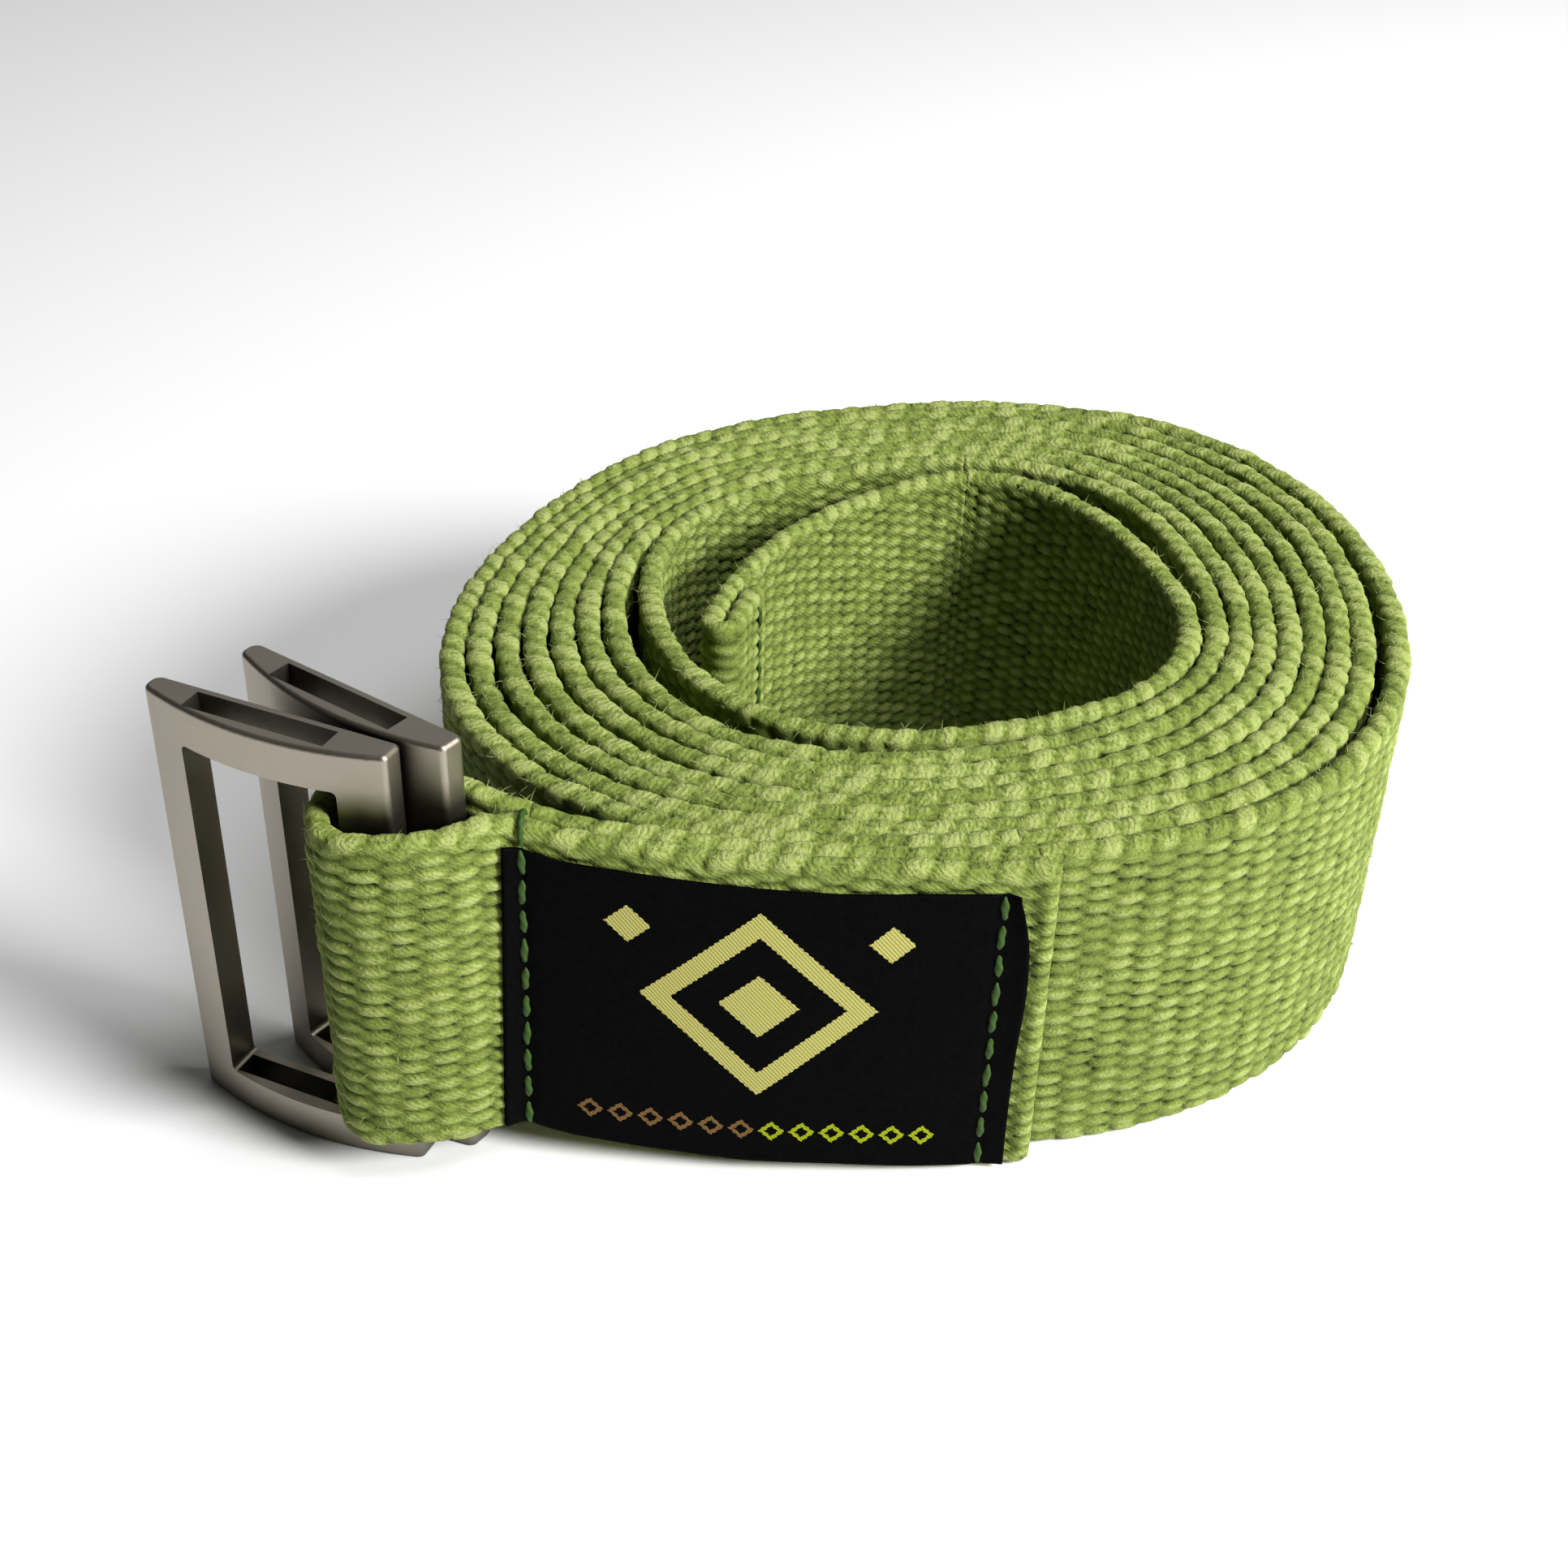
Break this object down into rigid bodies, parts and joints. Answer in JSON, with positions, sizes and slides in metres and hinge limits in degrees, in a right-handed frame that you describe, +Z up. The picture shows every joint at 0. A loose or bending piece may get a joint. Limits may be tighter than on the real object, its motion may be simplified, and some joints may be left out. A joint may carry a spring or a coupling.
{
  "type": "stretching strap",
  "caption": "Cotton webbing stretching strap rolled into a coil, with a double ring cinch in a sewn loop and a woven label.",
  "frame": {"origin": "under the middle of the whole object, on the surface it stands on", "axes": "+Z up along the coil's axis; -Y is the front, where the label is; -X is the side with the rings"},
  "size_m": [0.1276, 0.1071, 0.0494],
  "materials": {
    "webbing": "matte",
    "label": "satin weave",
    "thread": "matte",
    "ring_metal": "satin"
  },
  "bodies": {
    "coil": {"strap_coil": "webbing"},
    "sewn_end": {"strap_end": "webbing", "label": "label", "seam_left": "thread", "seam_right": "thread"},
    "front_ring": {"front_ring": "ring_metal"},
    "rear_ring": {"rear_ring": "ring_metal"},
    "tail": {"strap_tail": "webbing", "seam_hem": "thread"}
  },
  "joints": [
    {"name": "sewn_end_peel", "type": "hinge", "parent": "coil", "child": "sewn_end", "pos_m": [0.02341, -0.04545, 0], "axis": [0, 0, 1], "range_deg": [0, 35]},
    {"name": "front_ring_swing", "type": "hinge", "parent": "sewn_end", "child": "front_ring", "pos_m": [-0.03947, -0.0476, 0], "axis": [0, 0, 1], "range_deg": [0, 18]},
    {"name": "rear_ring_swing", "type": "hinge", "parent": "sewn_end", "child": "rear_ring", "pos_m": [-0.03801, -0.04616, 0], "axis": [0, 0, 1], "range_deg": [-25, 0]},
    {"name": "tail_bend", "type": "hinge", "parent": "coil", "child": "tail", "pos_m": [0.01623, 0.03155, 0], "axis": [0, 0, 1], "range_deg": [-3, 30]}
  ]
}
